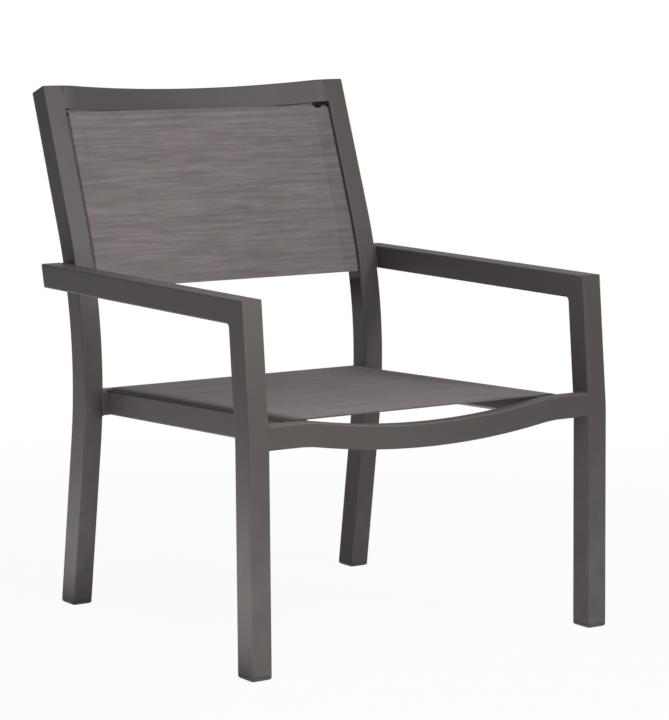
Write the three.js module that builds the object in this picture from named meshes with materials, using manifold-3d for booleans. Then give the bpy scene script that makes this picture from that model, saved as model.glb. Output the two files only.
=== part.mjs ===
// Sling patio chair: a welded frame of aluminium tube that carries a fabric sling as its seat and
// another as its back. Each sling is held by splines that lie in channels of the frame.
// Millimetres, +Z up. The sitter faces -Y, the chair is symmetric about X = 0, and the origin
// is on the floor under the middle of the chair. Left is the side of -X.
// Until the last lines, Y counts from the foot of the front legs' front face.

import * as THREE from "three";
import { mergeVertices } from "three/addons/utils/BufferGeometryUtils.js";
import Module from "manifold-3d";

const wasm = await Module();
wasm.setup();

const degree = Math.PI / 180;
const quarter = Math.PI / 2;

// Clearance between pieces that touch, and how far a cutting tool runs past what it cuts
const fit = 0.3;
const overrun = 6;
const reach = 2000;

// Tube of the arms, legs and posts
const overallWidth = 711.2;
const tubeWidth = 38;
const tubeWall = 1.6;
const tubeCorner = 3;
const cornerSteps = 3;

// Front legs: upright to the seat, then leaning back to the arm
const legDepth = 43;
const legLeanBelow = 0.8 * degree;
const legLeanAbove = 5.37 * degree;
const legBendFrom = 365.8;
const legBendRadius = 250;

// Arms: flat tubes that start at a mitre on top of the legs and stand off the posts by a pad of weld
const armTop = 596.9;
const armDepth = 40.7;
const armRise = 0.42 * degree;
const armEnd = 671.2;
const armStandoff = 3.8;

// Back posts: one bent tube each side is both the rear leg and the side of the back
const postDepth = 42;
const postFoot = 648.2;
const postLeanBelow = -8.06 * degree;
const postLeanAbove = 20.2 * degree;
const postBendFrom = 290.2;
const postBendRadius = 788.8;
const postRun = 928.7;

// Cross rails
const railDepth = 25;
const railWall = 1.6;
const railCorner = 3;
const frontRailHeight = 39.5;
const frontRailTop = 400.8;
const frontRailSetback = 7;
const frontRailDip = 21;
const frontRailDipFromLeg = 55.6;
const frontRailEase = 47;
const rearRailHeight = 44.5;
const rearRailTop = 383.5;
const rearRailSetback = 601;
const topRailHeight = 44;
const topRailBow = 35;
const topRailEase = 28;
const lowerRailHeight = 38;
const lowerRailAboveSlingFoot = 14;
const lowerRailSetback = 14;
const lowerRailBow = 30;
const lowerRailEase = 28;

// Seat side rails: an extrusion that is tall outside and shallow inside
const sideRailFromPost = 7.1;
const sideRailWidth = 38.5;
const sideRailOuterHeight = 43.4;
const sideRailInnerHeight = 32.3;
const sideRailTop = 401.1;
const sideRailFall = 1.79 * degree;
const sideRailMouthFromEdge = 9;

// Spline channels, alike in the posts and in the seat side rails
const boreRadius = 3.7;
const boreDepth = 5.5;
const mouthWidth = 3.6;
const channelFromFront = 8;
const mouthRunOut = 6;
const boreSteps = 12;
const splineRadius = 3.1;
const splineSides = 10;

// Slings
const slingThickness = 1.5;
const seatSlingLift = 0.4;
const seatSlingRoll = 2.2;
const slingEndGap = 1.5;
const backSlingLength = 317.7;
const backSlingBelowTop = 48;
const rollSteps = 4;

// Glides under the legs, and the caps that close the open tube ends
const glideHeight = 7.8;
const glideRound = 4.5;
const plugLength = 24;
const plugWall = 2;
const capThickness = 2.5;
const capRound = 1.5;
const roundSteps = 3;

// Steps along the bent and bowed pieces
const legSteps = 14;
const postSteps = 30;
const bowSteps = 20;
const slingSteps = 12;

// Places across the chair, from its middle
const armInnerX = overallWidth / 2 - tubeWidth;
const postOuterX = armInnerX - armStandoff;
const postInnerX = postOuterX - tubeWidth;
const sideRailOuterX = postInnerX - sideRailFromPost;
const sideRailInnerX = sideRailOuterX - sideRailWidth;
const channelX = sideRailOuterX - sideRailMouthFromEdge;
const postChannelX = postInnerX + boreDepth;
const frontRailDipStart = armInnerX - frontRailDipFromLeg;

// Places along the posts' front line
const topRailRun = postRun - topRailHeight;
const backSlingTop = postRun - backSlingBelowTop;
const backSlingFoot = backSlingTop - backSlingLength;
const lowerRailRun = backSlingFoot + lowerRailAboveSlingFoot;

const X = new THREE.Vector3(1, 0, 0);
const Y = new THREE.Vector3(0, 1, 0);
const Z = new THREE.Vector3(0, 0, 1);

// A closed geometry as a solid that can be joined and cut, and a solid as a geometry.
function solid(geometry) {
  const bare = geometry.clone();
  bare.deleteAttribute("normal");
  bare.deleteAttribute("uv");
  const merged = mergeVertices(bare);
  return new wasm.Manifold(
    new wasm.Mesh({
      numProp: 3,
      vertProperties: merged.attributes.position.array,
      triVerts: new Uint32Array(merged.index.array),
    }),
  );
}

function shapeOf(body) {
  const mesh = body.getMesh();
  const geometry = new THREE.BufferGeometry();
  geometry.setAttribute("position", new THREE.BufferAttribute(mesh.vertProperties, 3));
  geometry.setIndex(new THREE.BufferAttribute(mesh.triVerts, 1));
  const facets = geometry.toNonIndexed();
  facets.computeVertexNormals();
  return facets;
}

// A block that fills what lies beyond a plane, on the side that its normal points to.
function beyond(point, normal) {
  const block = new THREE.BoxGeometry(reach, reach, reach);
  block.translate(0, 0, reach / 2);
  block.applyQuaternion(new THREE.Quaternion().setFromUnitVectors(Z, normal));
  block.translate(point.x, point.y, point.z);
  return solid(block);
}

// A path in one plane. A profile carried along it keeps its own x along the side vector, and its
// y along the tangent crossed with the side vector.
class PlanePath extends THREE.Curve {
  constructor(place, side) {
    super();
    this.place = place;
    this.side = side;
  }

  getPoint(share, target = new THREE.Vector3()) {
    return target.copy(this.place(share));
  }

  computeFrenetFrames(steps) {
    const frames = { tangents: [], normals: [], binormals: [] };
    for (let step = 0; step <= steps; step += 1) {
      const tangent = this.getTangentAt(step / steps);
      frames.tangents.push(tangent);
      frames.normals.push(this.side.clone());
      frames.binormals.push(new THREE.Vector3().crossVectors(tangent, this.side));
    }
    return frames;
  }
}

function sweep(profile, path, steps) {
  return new THREE.ExtrudeGeometry(profile, { extrudePath: path, steps });
}

// The front line of a bent tube in the side plane: a straight, a bend of one radius, a straight.
// Runs are measured along that line from the floor, leans from the vertical, backwards positive.
function bentLine({ foot, leanBelow, leanAbove, bendFrom, bendRadius }) {
  const bendTo = bendFrom + bendRadius * (leanAbove - leanBelow);
  const lean = (run) => leanBelow + (THREE.MathUtils.clamp(run, bendFrom, bendTo) - bendFrom) / bendRadius;
  const at = (run, depth = 0, x = 0) => {
    const angle = lean(run);
    const below = Math.min(run, bendFrom);
    const above = Math.max(run - bendTo, 0);
    const y =
      foot +
      below * Math.sin(leanBelow) +
      bendRadius * (Math.cos(leanBelow) - Math.cos(angle)) +
      above * Math.sin(leanAbove);
    const z =
      below * Math.cos(leanBelow) +
      bendRadius * (Math.sin(angle) - Math.sin(leanBelow)) +
      above * Math.cos(leanAbove);
    return new THREE.Vector3(x, y + depth * Math.cos(angle), z - depth * Math.sin(angle));
  };
  const path = (from, to, depth = 0, x = 0) =>
    new PlanePath((share) => at(THREE.MathUtils.lerp(from, to, share), depth, x), X);
  return { at, lean, path };
}

const legLine = bentLine({
  foot: 0,
  leanBelow: legLeanBelow,
  leanAbove: legLeanAbove,
  bendFrom: legBendFrom,
  bendRadius: legBendRadius,
});
const postLine = bentLine({
  foot: postFoot,
  leanBelow: postLeanBelow,
  leanAbove: postLeanAbove,
  bendFrom: postBendFrom,
  bendRadius: postBendRadius,
});

// How far a rail has left its straight line at x: an arc whose two ends ease out of the straight.
function bowAt(x, start, ease, depth) {
  const middle = start - ease;
  const curvature = (2 * depth) / (start * middle);
  const away = Math.abs(x);
  if (away >= start) return 0;
  if (away > middle) return (curvature * middle * (start - away) ** 2) / (2 * ease);
  return depth - (curvature * x * x) / 2;
}

// Outlines
function arc(cx, cy, radius, from, to, steps) {
  const points = [];
  for (let step = 0; step <= steps; step += 1) {
    const angle = THREE.MathUtils.lerp(from, to, step / steps);
    points.push(new THREE.Vector2(cx + radius * Math.cos(angle), cy + radius * Math.sin(angle)));
  }
  return points;
}

// A rectangle from (x, y) to (x + width, y + depth) with round corners.
function roundBox(x, y, width, depth, radius) {
  const right = x + width - radius;
  const top = y + depth - radius;
  return [
    ...arc(x + radius, y + radius, radius, -2 * quarter, -quarter, cornerSteps),
    ...arc(right, y + radius, radius, -quarter, 0, cornerSteps),
    ...arc(right, top, radius, 0, quarter, cornerSteps),
    ...arc(x + radius, top, radius, quarter, 2 * quarter, cornerSteps),
  ];
}

// A rectangle from (x, y) to (x + width, y + depth), drawn in by inset on all four sides.
function rectangle(x, y, width, depth, inset = 0) {
  return [
    new THREE.Vector2(x + inset, y + inset),
    new THREE.Vector2(x + width - inset, y + inset),
    new THREE.Vector2(x + width - inset, y + depth - inset),
    new THREE.Vector2(x + inset, y + depth - inset),
  ];
}

function profile(outline, ...holes) {
  const shape = new THREE.Shape(outline);
  holes.forEach((hole) => shape.holes.push(new THREE.Path(hole)));
  return shape;
}

function plainTube(x, y, width, depth, radius, wall) {
  return profile(roundBox(x, y, width, depth, radius), rectangle(x, y, width, depth, wall));
}

// The inside of a post: the tube's hollow, less the wall round the spline channel in the corner
// at the front and towards the sling.
function postHollow(inset = 0) {
  const edge = tubeWall + inset;
  const shell = boreRadius + tubeWall + inset;
  return [
    new THREE.Vector2(postInnerX + tubeWidth - edge, edge),
    new THREE.Vector2(postInnerX + tubeWidth - edge, postDepth - edge),
    new THREE.Vector2(postInnerX + edge, postDepth - edge),
    new THREE.Vector2(postInnerX + edge, channelFromFront + shell),
    ...arc(postChannelX, channelFromFront, shell, quarter, 0, cornerSteps),
    new THREE.Vector2(postChannelX + shell, edge),
  ];
}

const postBore = arc(postChannelX, channelFromFront, boreRadius, 0, 4 * quarter, boreSteps).slice(1);

// The side rail's profile: x from the chair's middle, y up from the rail's top. The channel opens
// upwards near the outer edge, and the underside falls from the inner wall to the outer one.
function sideRailProfile() {
  const slope = Math.atan2(sideRailOuterHeight - sideRailInnerHeight, sideRailWidth);
  const mouthAngle = Math.asin(mouthWidth / 2 / boreRadius);
  const r = tubeCorner;
  const tangent = r * Math.tan((quarter - slope) / 2);
  const obtuse = r * Math.tan((quarter + slope) / 2);
  const nearX = sideRailInnerX + r;
  const farX = sideRailOuterX - r;
  const outline = [
    ...arc(nearX, -sideRailInnerHeight + tangent, r, -2 * quarter, -quarter - slope, cornerSteps),
    ...arc(farX, -sideRailOuterHeight + obtuse, r, -quarter - slope, 0, cornerSteps),
    ...arc(farX, -r, r, 0, quarter, cornerSteps),
    new THREE.Vector2(channelX + mouthWidth / 2, 0),
    ...arc(channelX, -boreDepth, boreRadius, quarter - mouthAngle, mouthAngle - 3 * quarter, boreSteps),
    new THREE.Vector2(channelX - mouthWidth / 2, 0),
    ...arc(nearX, -r, r, quarter, 2 * quarter, cornerSteps),
  ];
  const floorAt = (x) =>
    -sideRailInnerHeight - (x - sideRailInnerX) * Math.tan(slope) + tubeWall / Math.cos(slope);
  const left = sideRailInnerX + tubeWall;
  const right = sideRailOuterX - tubeWall;
  const shell = boreRadius + tubeWall;
  const hollow = [
    new THREE.Vector2(left, floorAt(left)),
    new THREE.Vector2(right, floorAt(right)),
    new THREE.Vector2(right, -boreDepth - shell),
    ...arc(channelX, -boreDepth, shell, -quarter, -2 * quarter, cornerSteps),
    new THREE.Vector2(channelX - shell, -tubeWall),
    new THREE.Vector2(left, -tubeWall),
  ];
  return profile(outline, hollow);
}

// Arms and front legs meet in a mitre from the outer corner on top to the inner one below.
const armHeading = new THREE.Vector3(0, Math.cos(armRise), Math.sin(armRise));
const armDown = new THREE.Vector3().crossVectors(armHeading, X);
const legRun = legBendFrom + (armTop - legLine.at(legBendFrom).z) / Math.cos(legLeanAbove);
const mitreLean = legLeanAbove + armRise;
const outerCorner = legLine.at(legRun);
const innerCorner = outerCorner
  .clone()
  .addScaledVector(armDown, armDepth)
  .addScaledVector(armHeading, legDepth / Math.cos(mitreLean) - armDepth * Math.tan(mitreLean));
const mitre = innerCorner.clone().sub(outerCorner).normalize();
const mitreNormal = new THREE.Vector3().crossVectors(mitre, X);
if (mitreNormal.y < 0) mitreNormal.negate();

function alongArm(start, from, to) {
  const place = (share) => start.clone().addScaledVector(armHeading, THREE.MathUtils.lerp(from, to, share));
  return new PlanePath(place, X);
}

const armPath = alongArm(outerCorner, -armDepth, armEnd);
const armEndRun = (armTop - armDepth / 2) / Math.cos(postLeanBelow);
const armEndLean = postLine.lean(armEndRun);
const armEndNormal = new THREE.Vector3(0, Math.cos(armEndLean), -Math.sin(armEndLean));
const armEndTop = outerCorner
  .clone()
  .addScaledVector(armHeading, (armEnd - outerCorner.y) / armHeading.y)
  .addScaledVector(armHeading, -capThickness / Math.cos(armEndLean + armRise));

// The pad spans the gap from the arm's inner wall to the post, over the post's depth.
function armGeometry() {
  const tube = solid(
    sweep(plainTube(armInnerX, 0, tubeWidth, armDepth, tubeCorner, tubeWall), armPath, 1),
  );
  const padWidth = armStandoff - fit + tubeWall / 2;
  const padSection = rectangle(postOuterX + fit, tubeCorner, padWidth, armDepth - 2 * tubeCorner);
  const padFront = beyond(postLine.at(armEndRun), armEndNormal.clone().negate());
  const pad = solid(sweep(profile(padSection), armPath, 1)).subtract(padFront);
  const mitreFace = outerCorner.clone().addScaledVector(mitreNormal, fit / 2);
  const front = beyond(mitreFace, mitreNormal.clone().negate());
  const rear = beyond(armEndTop.clone().addScaledVector(armHeading, -fit), armEndNormal);
  return shapeOf(tube.add(pad).subtract(front).subtract(rear));
}

const floorLevel = new THREE.Vector3(0, 0, glideHeight);
const down = Z.clone().negate();

function frontLegGeometry() {
  const tube = solid(
    sweep(
      plainTube(armInnerX, 0, tubeWidth, legDepth, tubeCorner, tubeWall),
      legLine.path(-overrun, legRun + legDepth),
      legSteps,
    ),
  );
  const head = beyond(outerCorner.clone().addScaledVector(mitreNormal, -fit / 2), mitreNormal);
  const above = beyond(new THREE.Vector3(0, 0, armTop), Z);
  return shapeOf(tube.subtract(head).subtract(above).subtract(beyond(floorLevel, down)));
}

function backPostGeometry() {
  const section = profile(roundBox(postInnerX, 0, tubeWidth, postDepth, tubeCorner), postHollow(), postBore);
  const tube = solid(sweep(section, postLine.path(-overrun, postRun - capThickness - fit), postSteps));
  const mouthSection = rectangle(
    postInnerX - overrun,
    channelFromFront - mouthWidth / 2,
    overrun + boreDepth,
    mouthWidth,
  );
  const mouthPath = postLine.path(backSlingFoot - mouthRunOut, topRailRun);
  const mouth = solid(sweep(profile(mouthSection), mouthPath, postSteps));
  return shapeOf(tube.subtract(mouth).subtract(beyond(floorLevel, down)));
}

// Rails between the posts, bowed backwards in the plane square to the posts at their height.
function bowedRailGeometry(run, height, setback, bow, ease) {
  const middle = run + height / 2;
  const lean = postLine.lean(middle);
  const end = postInnerX - fit;
  const path = new PlanePath((share) => {
    const x = THREE.MathUtils.lerp(-end, end, share);
    return postLine.at(middle, setback + bowAt(x, end, ease, bow), x);
  }, new THREE.Vector3(0, Math.sin(lean), Math.cos(lean)).negate());
  const section = plainTube(-height / 2, 0, height, railDepth, railCorner, railWall);
  return sweep(section, path, bowSteps);
}

function frontRailGeometry() {
  const end = armInnerX - fit;
  const path = new PlanePath((share) => {
    const x = THREE.MathUtils.lerp(-end, end, share);
    const drop = bowAt(x, frontRailDipStart, frontRailEase, frontRailDip);
    return new THREE.Vector3(x, frontRailSetback, frontRailTop - drop);
  }, Y);
  const section = plainTube(0, -frontRailHeight, railDepth, frontRailHeight, railCorner, railWall);
  return sweep(section, path, 2 * bowSteps);
}

function rearRailGeometry() {
  const end = postInnerX - fit;
  const path = new PlanePath(
    (share) => new THREE.Vector3(THREE.MathUtils.lerp(-end, end, share), rearRailSetback, rearRailTop),
    Y,
  );
  return sweep(plainTube(0, -rearRailHeight, railDepth, rearRailHeight, railCorner, railWall), path, 1);
}

// What runs from the front to the back of the seat falls with the side rails.
const seatFront = frontRailSetback + railDepth + fit;
const seatRear = rearRailSetback - fit;

function alongSeat(outline, from, to) {
  const geometry = new THREE.ExtrudeGeometry(outline, { depth: to - from, bevelEnabled: false });
  geometry.rotateX(quarter);
  geometry.translate(0, to, sideRailTop);
  const fall = new THREE.Matrix4().makeShear(0, 0, 0, -Math.tan(sideRailFall), 0, 0);
  geometry.translate(0, -seatFront, 0);
  geometry.applyMatrix4(fall);
  geometry.translate(0, seatFront, 0);
  return geometry;
}

// The seat sling's section: flat over the rails, rolled down at each edge into the channels.
function seatSlingSection() {
  const under = seatSlingLift;
  const over = seatSlingLift + slingThickness;
  const innerRoll = seatSlingRoll - slingThickness / 2;
  const outerRoll = seatSlingRoll + slingThickness / 2;
  const centreX = channelX - seatSlingRoll;
  const tip = -boreDepth + splineRadius + fit;
  const half = [
    ...arc(centreX, over - outerRoll, outerRoll, quarter, 0, rollSteps),
    new THREE.Vector2(channelX + slingThickness / 2, tip),
    new THREE.Vector2(channelX - slingThickness / 2, tip),
    ...arc(centreX, under - innerRoll, innerRoll, 0, quarter, rollSteps),
  ];
  const other = half.map((point) => new THREE.Vector2(-point.x, point.y)).reverse();
  return profile([...half, ...other]);
}

function splineSection(x, y) {
  return profile(arc(x, y, splineRadius, 0, 4 * quarter, splineSides).slice(1));
}

const backSlingPath = postLine.path(backSlingFoot, backSlingTop);

function backSlingGeometry() {
  const edge = postChannelX - splineRadius - fit;
  const section = rectangle(-edge, channelFromFront - slingThickness / 2, 2 * edge, slingThickness);
  return sweep(profile(section), backSlingPath, slingSteps);
}

// A moulded stopper: a flange with a rounded rim that covers the tube's end, and a hollow plug that
// fills the tube. The flange lies on the plane of the cut end, whose normal points outwards.
function stopperGeometry({ origin, outward, outline, thickness, round, plugPath, plugOutline, plugCore }) {
  const plate = new THREE.ExtrudeGeometry(profile(outline), {
    depth: thickness - round,
    bevelThickness: round,
    bevelSize: round,
    bevelOffset: -round,
    bevelSegments: roundSteps,
  });
  const flange = solid(plate).subtract(beyond(new THREE.Vector3(), down));
  const across = new THREE.Vector3().crossVectors(outward, X);
  const place = new THREE.Matrix4().makeBasis(X, across, outward).setPosition(origin);
  const rim = origin.clone().addScaledVector(outward, thickness / 2);
  const plug = solid(sweep(profile(plugOutline, plugCore), plugPath, 1)).subtract(beyond(rim, outward));
  return shapeOf(solid(shapeOf(flange).applyMatrix4(place)).add(plug));
}

function glideGeometry(line, depth, outlineX, plugOutline, plugCore) {
  const lean = line.lean(0);
  const length = depth / Math.cos(lean);
  return stopperGeometry({
    origin: new THREE.Vector3(0, line.at(0).y + glideHeight * Math.tan(lean), glideHeight),
    outward: down,
    outline: roundBox(outlineX, -length, tubeWidth, length, tubeCorner + glideRound),
    thickness: glideHeight,
    round: glideRound,
    plugPath: line.path(-overrun, plugLength),
    plugOutline,
    plugCore,
  });
}

function armCapGeometry() {
  const length = armDepth / Math.cos(armEndLean + armRise);
  const inset = (edge) => rectangle(armInnerX, 0, tubeWidth, armDepth, tubeWall + edge);
  return stopperGeometry({
    origin: armEndTop,
    outward: armEndNormal,
    outline: roundBox(armInnerX, 0, tubeWidth, length, tubeCorner),
    thickness: capThickness,
    round: capRound,
    plugPath: alongArm(armEndTop, -plugLength, overrun),
    plugOutline: inset(fit),
    plugCore: inset(fit + plugWall),
  });
}

function postCapGeometry() {
  const top = postRun - capThickness;
  const place = postLine.at(top);
  const lean = postLine.lean(top);
  return stopperGeometry({
    origin: place,
    outward: new THREE.Vector3(0, Math.sin(lean), Math.cos(lean)),
    outline: roundBox(postInnerX, 0, tubeWidth, postDepth, tubeCorner),
    thickness: capThickness,
    round: capRound,
    plugPath: postLine.path(top - plugLength, postRun),
    plugOutline: postHollow(fit),
    plugCore: postHollow(fit + plugWall),
  });
}

// Materials
const paint = { color: 0x5b5754, roughness: 0.48, metalness: 0.35 };
const weave = { color: 0x8c857e, roughness: 0.85, metalness: 0 };
const moulding = { color: 0x3a3836, roughness: 0.6, metalness: 0 };
const nylon = { color: 0x23211f, roughness: 0.55, metalness: 0 };

// Assembly
const chair = new THREE.Group();
const mirrored = new THREE.Group();
mirrored.scale.x = -1;
chair.add(mirrored);

function add(name, geometry, finish) {
  const mesh = new THREE.Mesh(geometry, new THREE.MeshStandardMaterial(finish));
  mesh.name = name;
  chair.add(mesh);
}

function addPair(name, geometry, finish) {
  add(`${name}_right`, geometry, finish);
  const left = new THREE.Mesh(geometry, new THREE.MeshStandardMaterial(finish));
  left.name = `${name}_left`;
  mirrored.add(left);
}

const legInset = (edge) => rectangle(armInnerX, 0, tubeWidth, legDepth, tubeWall + edge);
const seatSlingFront = seatFront + slingEndGap;
const seatSlingRear = seatRear - slingEndGap;

addPair("arm", armGeometry(), paint);
addPair("front_leg", frontLegGeometry(), paint);
addPair("back_post", backPostGeometry(), paint);
addPair("seat_side_rail", alongSeat(sideRailProfile(), seatFront, seatRear), paint);
add("front_seat_rail", frontRailGeometry(), paint);
add("rear_seat_rail", rearRailGeometry(), paint);
add("top_rail", bowedRailGeometry(topRailRun, topRailHeight, 0, topRailBow, topRailEase), paint);
add(
  "lower_back_rail",
  bowedRailGeometry(lowerRailRun, lowerRailHeight, lowerRailSetback, lowerRailBow, lowerRailEase),
  paint,
);
add("seat_sling", alongSeat(seatSlingSection(), seatSlingFront, seatSlingRear), weave);
add("back_sling", backSlingGeometry(), weave);
addPair("seat_spline", alongSeat(splineSection(channelX, -boreDepth), seatSlingFront, seatSlingRear), nylon);
addPair(
  "back_spline",
  sweep(splineSection(postChannelX, channelFromFront), backSlingPath, slingSteps),
  nylon,
);
addPair(
  "front_glide",
  glideGeometry(legLine, legDepth, armInnerX, legInset(fit), legInset(fit + plugWall)),
  moulding,
);
addPair(
  "rear_glide",
  glideGeometry(postLine, postDepth, postInnerX, postHollow(fit), postHollow(fit + plugWall)),
  moulding,
);
addPair("arm_cap", armCapGeometry(), moulding);
addPair("post_cap", postCapGeometry(), moulding);

// The origin: on the floor, half way between the front and the back of the whole chair
const part = new THREE.Group();
part.add(chair);
part.updateMatrixWorld(true);
const bounds = new THREE.Box3().setFromObject(chair);
chair.position.y = -(bounds.min.y + bounds.max.y) / 2;

export default part;
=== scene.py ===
"""Sling patio chair: powder-coated aluminium tube with a stretched woven seat and back.

Metres, +Z up. The sitter faces -Y and the chair is symmetric about X = 0; left is the side of -X.
Every tube is an outline carried along its centre line. Depth is measured backwards from a bent
tube's front line, and run along that line from the floor.
"""

from math import asin, atan2, cos, pi, radians, sin, tan

import bmesh
import bpy
import numpy as np
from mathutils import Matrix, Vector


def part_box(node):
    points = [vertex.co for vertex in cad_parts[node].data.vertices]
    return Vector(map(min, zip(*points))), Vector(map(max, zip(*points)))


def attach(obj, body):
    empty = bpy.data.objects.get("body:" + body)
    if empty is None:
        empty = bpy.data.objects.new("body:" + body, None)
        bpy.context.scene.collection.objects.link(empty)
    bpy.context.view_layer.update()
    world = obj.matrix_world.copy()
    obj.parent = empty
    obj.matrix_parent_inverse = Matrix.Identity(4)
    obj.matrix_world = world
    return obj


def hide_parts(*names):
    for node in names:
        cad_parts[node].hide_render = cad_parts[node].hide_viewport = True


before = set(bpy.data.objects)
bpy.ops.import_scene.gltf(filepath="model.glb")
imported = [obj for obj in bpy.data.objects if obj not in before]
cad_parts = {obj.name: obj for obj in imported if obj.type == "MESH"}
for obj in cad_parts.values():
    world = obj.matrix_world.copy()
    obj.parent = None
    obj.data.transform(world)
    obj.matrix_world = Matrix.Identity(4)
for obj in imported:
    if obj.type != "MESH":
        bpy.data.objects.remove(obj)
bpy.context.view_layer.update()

# Tube of the arms, legs and posts
OVERALL_WIDTH = 0.7112
TUBE_WIDTH = 0.038
TUBE_CORNER = 0.003
CORNER_STEPS = 6
CORNER_SUPPORT = 0.0005
CORNER_POINTS = CORNER_STEPS + 3

# Front legs and arms
LEG_DEPTH = 0.043
ARM_TOP = 0.5969
ARM_DEPTH = 0.0407
ARM_RISE = radians(0.42)
ARM_END = 0.6712
ARM_STANDOFF = 0.0038

# Back posts
POST_DEPTH = 0.042
POST_RUN = 0.9287

# Cross rails
RAIL_DEPTH = 0.025
RAIL_CORNER = 0.003
FRONT_RAIL_HEIGHT = 0.0395
FRONT_RAIL_TOP = 0.4008
FRONT_RAIL_SETBACK = 0.007
FRONT_RAIL_DIP = 0.021
FRONT_RAIL_DIP_START = 0.262
FRONT_RAIL_EASE = 0.047
REAR_RAIL_HEIGHT = 0.0445
REAR_RAIL_TOP = 0.3835
REAR_RAIL_SETBACK = 0.601
TOP_RAIL_HEIGHT = 0.044
TOP_RAIL_BOW = 0.035
LOWER_RAIL_HEIGHT = 0.038
LOWER_RAIL_RUN = 0.577
LOWER_RAIL_SETBACK = 0.014
LOWER_RAIL_BOW = 0.030
BACK_RAIL_EASE = 0.028
RAIL_END_DROP = 0.0026
RAIL_END_BAND = 0.0035

# Seat side rails
SIDE_RAIL_FROM_POST = 0.0071
SIDE_RAIL_WIDTH = 0.0385
SIDE_RAIL_OUTER_HEIGHT = 0.0434
SIDE_RAIL_INNER_HEIGHT = 0.0323
SIDE_RAIL_TOP = 0.4011
SIDE_RAIL_FALL = radians(1.79)
MOUTH_FROM_EDGE = 0.009

# Channels that hold the splines
BORE_RADIUS = 0.0037
BORE_DEPTH = 0.0055
BORE_POINTS = 15
MOUTH_WIDTH = 0.0036
MOUTH_LIP = 0.0004
CHANNEL_FROM_FRONT = 0.008
CHANNEL_BELOW_SLING = 0.006
CHANNEL_END_WALL = 0.0002
SPLINE_RADIUS = 0.0027

# Slings
CLOTH_THICKNESS = 0.0011
BACK_SLING_FOOT = 0.563
BACK_SLING_BELOW_TOP = 0.048
BACK_CORNER_RISE = 0.0028
SEAT_SLING_LIFT = 0.0004
SEAT_ROLL = 0.0022
SEAT_GAP = 0.0015
SEAT_FRONT_LIP = 0.0008
SEAT_REAR_LIP = 0.0004
HEM_WIDTH = 0.035
HEM_RISE = 0.0005
HEM_FOLD = 0.0016
LIP_FADE = 0.004
RIGHT_MOUTH = 0.032
LEFT_MOUTH = 0.005
MOUTH_HOLLOW = 0.0008
END_HEM_WIDTH = 0.020
THREAD_RADIUS = 0.00032
STITCH_LENGTH = 0.0034
STITCH_PITCH = 0.0042
BACK_SEAM = 0.004
BACK_SEAM_STOP = 0.009
SEAT_SIDE_SEAM = 0.006
SEAT_END_SEAM = 0.005

# The hems' mouths at the back's top, painted dark as shade: how far down they reach, by the distance from
# the post
RIGHT_MOUTH_PLACES = (0, 0.0035, 0.0045, 0.0145, 0.0160, RIGHT_MOUTH - 0.003, RIGHT_MOUTH)
RIGHT_MOUTH_DEPTHS = (0.0044, 0.0044, 0.0014, 0.0014, 0.0052, 0.0046, 0)
LEFT_MOUTH_PLACES = (0, LEFT_MOUTH, 0.0065)
LEFT_MOUTH_DEPTHS = (0.007, 0.007, 0)

# Painted shade in the folds beside the channels, each with its strength, its reach and the length it
# fades over, and the strength of the hems on their paler side: a hem is darker as double cloth and, more on
# one side, as painted shade
BACK_CREASE_SHADE_RIGHT = (0.3, 0.0020, 0.001)
BACK_CREASE_SHADE_LEFT = (0.55, 0.0078, 0.001)
SEAT_CREASE_SHADE_RIGHT = (0.6, 0.009, 0.004)
SEAT_CREASE_SHADE_LEFT = (0.6, 0.030, 0.024)
BACK_HEM_SHADE_LEFT = 0.35
SEAT_HEM_SHADE_RIGHT = 0.2

# Glides and caps
GLIDE_HEIGHT = 0.0078
GLIDE_ROUND = 0.0045
GLIDE_SEAM = 0.0004
CAP_THICKNESS = 0.0025
CAP_ROUND = 0.0018
CAP_CORNER_SHARE = 0.6

# Welds
BEAD_RADIUS = 0.0015
BEAD_PITCH = 0.0024
BEAD_STEP = 0.0006
BEAD_SMALLEST = 0.95
BEAD_SWELL = 0.12
FLUSH_OVERLAP = 0.003
CORNER_WELD_RADIUS = 0.0045
CORNER_WELD_INSET = 0.0012
FILLET_BURY = 0.0006

# Weld between the arm and the post: a pad, and a bead round its rim
PAD_INSET = 0.0012
PAD_CORNER = 0.002
PAD_BURY = 0.0004
ARM_BEAD_INSET = 0.0017
ARM_BEAD_CORNER = 0.003
ARM_BEAD_RADIUS = 0.0021

# Fillet under the lower back rail's end
RAIL_FILLET_INSET = 0.004
RAIL_FILLET_WIDTH = 0.009
RAIL_FILLET_DROP = 0.021

# Rows of points: a fine step near the ends, and margins for the sides and the ends of a piece
FINE_STEP = 0.001
SIDE_MARGIN = 0.040
END_MARGIN = 0.022

# Painted shade on the paint, with its strength and where along the post it lies
SHADE_BELOW_SLING = 0.85
SHADE_FROM_RUN = 0.470
SHADE_EASE = 0.085
SHADE_BY_RAIL = 0.6
SHADE_RAIL_RUN = 0.362
SHADE_RAIL_REACH = 0.02

ARM_INNER_X = OVERALL_WIDTH / 2 - TUBE_WIDTH
POST_OUTER_X = ARM_INNER_X - ARM_STANDOFF
POST_INNER_X = POST_OUTER_X - TUBE_WIDTH
SIDE_RAIL_OUTER_X = POST_INNER_X - SIDE_RAIL_FROM_POST
SIDE_RAIL_INNER_X = SIDE_RAIL_OUTER_X - SIDE_RAIL_WIDTH
CHANNEL_X = SIDE_RAIL_OUTER_X - MOUTH_FROM_EDGE
BACK_EDGE_X = POST_INNER_X + BORE_DEPTH - SPLINE_RADIUS
BACK_SLING_HEAD = POST_RUN - BACK_SLING_BELOW_TOP
SEAT_FRONT = FRONT_RAIL_SETBACK + RAIL_DEPTH
SEAT_REAR = REAR_RAIL_SETBACK

# The legs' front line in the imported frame, whose origin lies under the middle of the chair
LEG_FRONT_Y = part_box("front_seat_rail")[0][1] - FRONT_RAIL_SETBACK


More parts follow.
